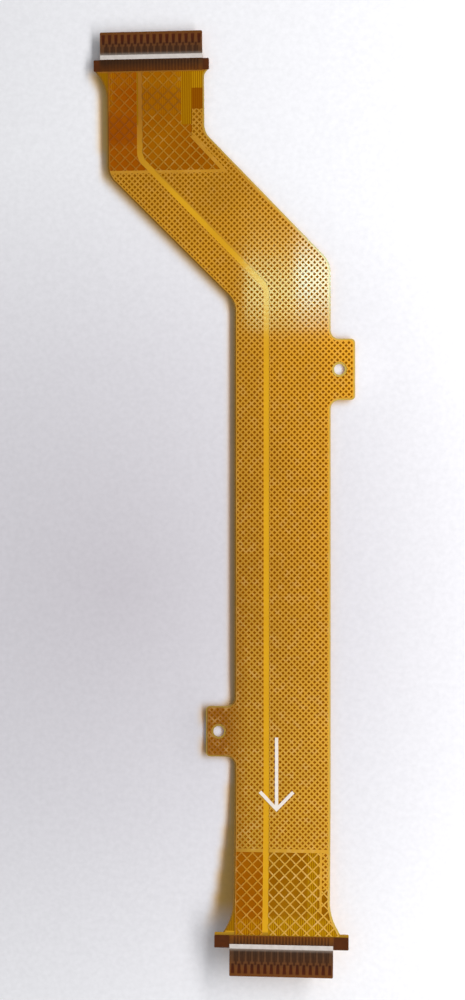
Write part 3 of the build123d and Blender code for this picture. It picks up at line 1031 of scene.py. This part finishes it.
def stiffener(name, half, inner_edge, tip, inward, centre, line_edge, wing_marks):
    """Plate over a tab and its wing, with the finger marks raised on its top. On the wing the marks fade to
    a share of their strength that runs evenly from its left to its right end. A painted grey sheen, a
    highlight, rises just before the printed line, and the ends of the wing have a shade of their own."""
    left, right = half(-1)[:3], half(1)[:3]
    left.append((left[-1][0], inner_edge, wing_radius))
    right.append((right[-1][0], inner_edge, wing_radius))
    line = rounded_line(left + right[::-1])
    low, high = line.min(axis=0), line.max(axis=0)
    xs = np.arange(low[0] - plate_border, high[0] + plate_border, mark_cell_x)
    ys = np.arange(low[1] - plate_border, high[1] + plate_border, mark_cell_y)
    mesh = inside(slab(xs, ys, film_top, stiffener_top), line)
    points = points_of(mesh)
    along = (points[:, 1] - tip) * inward
    across = points[:, 0] - centre
    on_tab = np.abs(across) < tab_width / 2 + edge_slack
    share = np.interp(across, [-tab_width / 2, tab_width / 2], wing_marks)
    marks = finger_marks(across, along) * np.where(along > tab_length, share, 1) * on_tab
    on_top = points[:, 2] > (film_top + stiffener_top) / 2
    points[:, 2] += np.where(on_top, (marks - 1) * mark_height, 0)
    mesh.vertices.foreach_set("co", points.ravel())
    wing_end = np.clip((np.abs(across) - tab_width / 2 + wing_lead) / wing_blend, 0, 1)
    # painted sheen: a highlight that rises towards the printed line
    painted_sheen = sheen_strength * np.clip(1 - (line_edge - along) / sheen_width, 0, 1)
    painted_sheen *= along < line_edge + edge_slack
    numbers = {"finger": marks, "inward": along, "painted_sheen": painted_sheen, "wing_end": wing_end * (along > tab_length)}
    for label, values in numbers.items():
        mesh.attributes.new(label, "FLOAT", "POINT").data.foreach_set("value", values)
    add_piece(f"{name}_plate", mesh, brown_stiffener, "brown_stiffener", f"{name}_stiffener")


stiffener("upper", upper_end, upper_wing_edge, overall_length, -1, upper_tab_shift, upper_print,
          upper_wing_marks)
stiffener("lower", lower_end, tab_length + lower_wing_depth, 0, 1, lower_tab_shift, lower_print,
          lower_wing_marks)

# %% [markdown]
# ## Signal traces on the underside
# The 31 signals run the whole length under the cover film, where they show as fine ridges. Each is a ribbon
# carried along the strip's middle line. At the jog every ribbon turns on the corner's bisector, so the gaps
# between them stay even.

# %% Ribbons along the strip
trace_pitch, trace_width, trace_low, trace_high = 0.27, 0.1, 0.0, 0.008
lower_lead, upper_lead = 2.5, 1.5           # past a wing, over which the traces come from the tab to the body
leg_steps = (6, 60, 18, 8, 4)               # stations on each leg of the route


def trace_ribbons():
    """All traces as closed ribbons on one array: trace, station and corner of the section.
    A station's point is the middle line plus the trace's offset along the miter, which is the offset times
    (1, tan(half the turn)) where the line turns from upright to the slanted run."""
    offsets = (np.arange(contact_count) - (contact_count - 1) / 2) * trace_pitch
    neck_middle = (neck_left + neck_right) / 2
    slope = tan(radians(left_slant) / 2)
    route = np.array([
        (lower_tab_shift, tab_length, 0),
        (0, lower_wing_edge + lower_lead, 0),
        (0, slant_middle(0), slope),
        (neck_middle, slant_middle(neck_middle), slope),
        (neck_middle, upper_wing_edge - upper_lead, 0),
        (upper_tab_shift, overall_length - tab_length, 0),
    ])
    legs = [leg + np.linspace(0, 1, count, endpoint=False) for leg, count in enumerate(leg_steps)]
    stations = np.append(np.concatenate(legs), len(leg_steps))
    x, y, miter = (np.interp(stations, np.arange(len(route)), column) for column in route.T)
    across = np.array([-0.5, 0.5, 0.5, -0.5]) * trace_width
    heights = np.array([trace_low, trace_low, trace_high, trace_high])
    shift = offsets[:, None, None] + across
    px = x[None, :, None] + shift
    py = y[None, :, None] + shift * miter[None, :, None]
    pz = np.broadcast_to(heights, px.shape)
    number = np.arange(px.size).reshape(px.shape)
    ahead = np.roll(number, -1, axis=2)
    quads = np.stack([number[:, :-1], ahead[:, :-1], ahead[:, 1:], number[:, 1:]], axis=-1).reshape(-1, 4)
    caps = np.concatenate([number[:, 0, ::-1], number[:, -1]])
    vertices = np.column_stack([px.ravel(), py.ravel(), pz.ravel()])
    return new_mesh("traces", vertices, np.concatenate([quads, caps]).tolist())


add_piece("signal_traces", trace_ribbons(), hatch_copper, "covered_copper")


# %% [markdown]
# ## Gold contacts and white print
# The contacts and the printed marks are right as the CAD made them, so they stay and only get a finish. The
# contacts are gold plate with faint rub marks along the way they slide in. The print is screen ink: matt,
# slightly thin in places, and a touch warm.

# %% Finishes for the CAD nodes that stay
def gold_finish():
    """Plated gold, brushed lightly along Y."""
    finish = Finish("contact_gold", Metallic=1.0)
    rub = finish.noise(3000, 3, (1, 0.1, 1))
    finish.colour(finish.mix(rub, shade(226, 184, 96), shade(246, 212, 138)))
    finish.rough(finish.spread(rub, 0.3, 0.7, 0.18, 0.34))
    return finish.material


def ink_finish(name, thin, thick):
    """Matt white ink, patchy at the scale of the screen that printed it."""
    finish = Finish(name, Roughness=0.6, IOR=1.45)
    finish.colour(finish.mix(finish.noise(2500, 3), thin, thick))
    finish.bump(finish.noise(5000), 0.15, 0.00001)
    return finish.material


def dress(material, *nodes):
    """Give CAD nodes a finish."""
    for name in nodes:
        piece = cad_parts[name]
        for place in piece.material_slots:
            place.material = material
        print(name, "wears", material.name)


rows = [f"{end}_{row}_contacts" for end in ("upper", "lower") for row in ("front", "rear")]
dress(gold_finish(), *rows)
line_ink = ink_finish("line_ink", shade(193, 183, 175), shade(224, 215, 209))
dress(line_ink, "upper_insertion_mark", "lower_insertion_mark")
dress(ink_finish("arrow_ink", shade(228, 216, 203), shade(248, 238, 228)), "direction_arrow")

# %% [markdown]
# ## Floor, light and camera
# The cable lies on white paper that sags a little under it, so its edges throw a thin shadow, which is wider
# where the lower end curls up. The paper follows most of the upper end's rise and has a low mound under each
# ear, so the shadow stays narrow there. Light that has come through the film tints it amber. That could be
# traced through real glass, but here it is a painted amber shadow: the paper is darkened and tinted by how much
# of the strip lies between each point and the window. The window is long and stands on the right, so the paper
# is paler there, and two small lights high up give the film its gleam on the shoulder of the jog. The camera
# looks down from a little to the right.

# %% Painted amber shadow, for the light through the film
glow_steps = 2
glow_fade = 2.5                 # length over which the glow fades in above the lower stiffener
glow_clearance = 1.3            # radius round a locating hole without glow


def glow_over(x, y):
    """Share of the strip round each point of an even grid, 0 to 1.
    A point is inside where an odd number of the outline's sides cross the ray to its right. The stiff ends and
    points near a locating hole don't count, and the share fades in above the lower stiff end. Each point is
    then averaged with its neighbours a few times over."""
    share = np.zeros(x.shape, bool)
    for (ax, ay), (bx, by) in zip(strip_line, np.roll(strip_line, -1, axis=0)):
        if ay != by:
            share ^= ((ay > y) != (by > y)) & (x < ax + (y - ay) * (bx - ax) / (by - ay))
    for hole in holes:
        share &= np.hypot(x - hole[0], y - hole[1]) > glow_clearance
    share = (share & (y < upper_wing_edge)) * np.clip((y - lower_wing_edge) / glow_fade, 0, 1)
    for _ in range(glow_steps):
        for axis in (0, 1):
            share = (np.roll(share, 1, axis) + 2 * share + np.roll(share, -1, axis)) / 4
    return share


# %% Paper finish
# painted shade: the paper is duller round a patch left of the strip's middle
shade_patch_centre, shade_patch_reach = (-0.01, -0.008, 0), 0.042       # in metres
# painted amber shadow: a tint multiplied into the paper where the strip stands between it and the window
painted_amber_tint = (0.96, 0.62, 0.18, 1.0)


def paper_finish():
    """White paper with a painted shade patch left of the strip's middle, a faint cloud, fine tooth and the
    painted amber shadow.
    """
    finish = Finish("paper", Roughness=0.8, Specular_IOR_Level=0.2)
    away = finish.tree.nodes.new("ShaderNodeVectorMath")
    away.operation = "DISTANCE"
    away.inputs[1].default_value = shade_patch_centre
    finish.link(finish.place, away.inputs[0])
    # painted shade: duller near the patch's centre, paler further out
    tone = finish.ramp(away.outputs["Value"], 0, shade_patch_reach, shade(208, 203, 209), shade(224, 221, 226),
                       shade(245, 244, 247))
    cloud = finish.spread(finish.noise(2200, 5), 0.3, 0.7, 0.97, 1.03)
    plain = finish.mix(1.0, tone, cloud, "MULTIPLY")
    # painted amber shadow multiplied into the paper
    finish.colour(finish.mix(finish.attribute("painted_amber_shadow"), plain, painted_amber_tint, "MULTIPLY"))
    finish.bump(finish.noise(900, 3), 0.1, 0.0001)
    return finish.material


# %% Paper with its rise and mounds
cell, cell_border = 0.3, 4      # of the floor's fine grid: size, and how far it goes past the strip
floor_size, floor_level = 600, -0.35
upper_follow = 0.88             # share of the upper end's bow that the paper has too
mound_height, mound_width = 0.27, 2.8
window_place = Vector((0.134, 0.015, 0.101))                # in metres


def paper_height(x, y):
    """Level, rising under the upper end by a share of the strip's own curl, with a low mound under each ear:
    its height times e to the minus squared distance over squared width."""
    distance = np.minimum(y, overall_length) - flat_end
    height = floor_level + upper_follow * curl(distance, 0, upper_bend_length, upper_tilt)
    for hole in holes:
        away = np.hypot(x - hole[0], y - hole[1])
        height = height + mound_height * np.exp(-(away / mound_width) ** 2)
    return height


xs = np.arange(left_limit - cell_border, right_limit + cell_border, cell)
ys = np.arange(-cell_border, overall_length + cell_border, cell)
x, y = np.meshgrid(xs, ys, indexing="ij")
glow_shift = (bowed(y, film_top) - paper_height(x, y)) * window_place.x / window_place.z
# painted amber shadow, worked out on the floor's grid
painted_amber_shadow = np.pad(glow_over(x + glow_shift, y), 1)
xs = np.concatenate([[-floor_size], xs, [floor_size]])
ys = np.concatenate([[-floor_size], ys, [floor_size]])
x, y = np.meshgrid(xs, ys, indexing="ij")
number = np.arange(x.size).reshape(x.shape)
cells = np.stack([number[:-1, :-1], number[1:, :-1], number[1:, 1:], number[:-1, 1:]], axis=-1).reshape(-1, 4)
placed = [(x + to_frame[0]).ravel(), (y + to_frame[1]).ravel(), paper_height(x, y).ravel()]
floor_mesh = new_mesh("paper", np.column_stack(placed) * MM, cells.tolist())
floor_mesh.attributes.new("painted_amber_shadow", "FLOAT", "POINT").data.foreach_set("value", painted_amber_shadow.ravel())
floor_mesh.materials.append(paper_finish())
floor_mesh.shade_smooth()
floor = bpy.data.objects.new("paper", floor_mesh)
bpy.context.scene.collection.objects.link(floor)
print("floor at", floor_level, "mm, with", len(cells), "cells")


# %% Lights
window_size, window_power = (0.46, 0.04), 0.6
sky_colour, sky_strength = (0.95, 0.97, 1.0, 1.0), 0.34
gleam_height = 0.2
gleams = [                      # name, place in X and Y, size, power and colour
    ("shoulder_gleam", (-0.0055, 0.0341), (0.007, 0.0017), 0.00108, (0.3, 0.92, 0.95)),
    ("lane_gleam", (-0.01375, 0.0337), (0.0095, 0.0016), 0.00072, (0.5, 1.0, 0.62)),
]


def area_light(name, place, target, size, power, colour=(1, 1, 1)):
    """Rectangular area light at a place, turned to a target."""
    light = bpy.data.lights.new(name, "AREA")
    light.shape = "RECTANGLE"
    light.size, light.size_y = size
    light.energy = power
    light.color = colour
    lamp = bpy.data.objects.new(name, light)
    lamp.location = place
    lamp.rotation_euler = (Vector(target) - Vector(place)).to_track_quat("-Z", "Y").to_euler()
    bpy.context.scene.collection.objects.link(lamp)
    print(name, "at", [round(value, 3) for value in place])


world = bpy.data.worlds.new("studio")
bpy.context.scene.world = world
world.use_nodes = True
sky = world.node_tree.nodes["Background"]
sky.inputs["Color"].default_value = sky_colour
sky.inputs["Strength"].default_value = sky_strength
area_light("right_window", window_place, (0, window_place.y, 0), window_size, window_power)
for name, place, size, power, colour in gleams:
    area_light(name, (*place, gleam_height), (*place, 0), size, power, colour)

# %% Camera
camera_distance, camera_tilt = 0.2, 6.2
picture_height, millimetres_per_pixel = 1000, 0.0933
aim = Vector((0.00074, 0.0002, 0))
lens = bpy.data.cameras.new("camera")
lens.sensor_fit = "VERTICAL"
lens.sensor_height = 24.0
lens.lens = lens.sensor_height * camera_distance / (picture_height * millimetres_per_pixel * MM)
camera = bpy.data.objects.new("camera", lens)
turn = Matrix.Rotation(radians(camera_tilt), 4, "Y")
camera.matrix_world = Matrix.Translation(aim) @ turn @ Matrix.Translation((0, 0, camera_distance))
bpy.context.scene.collection.objects.link(camera)
bpy.context.scene.camera = camera
bpy.context.scene.view_settings.view_transform = "Standard"
print("lens:", round(lens.lens, 2), "mm")
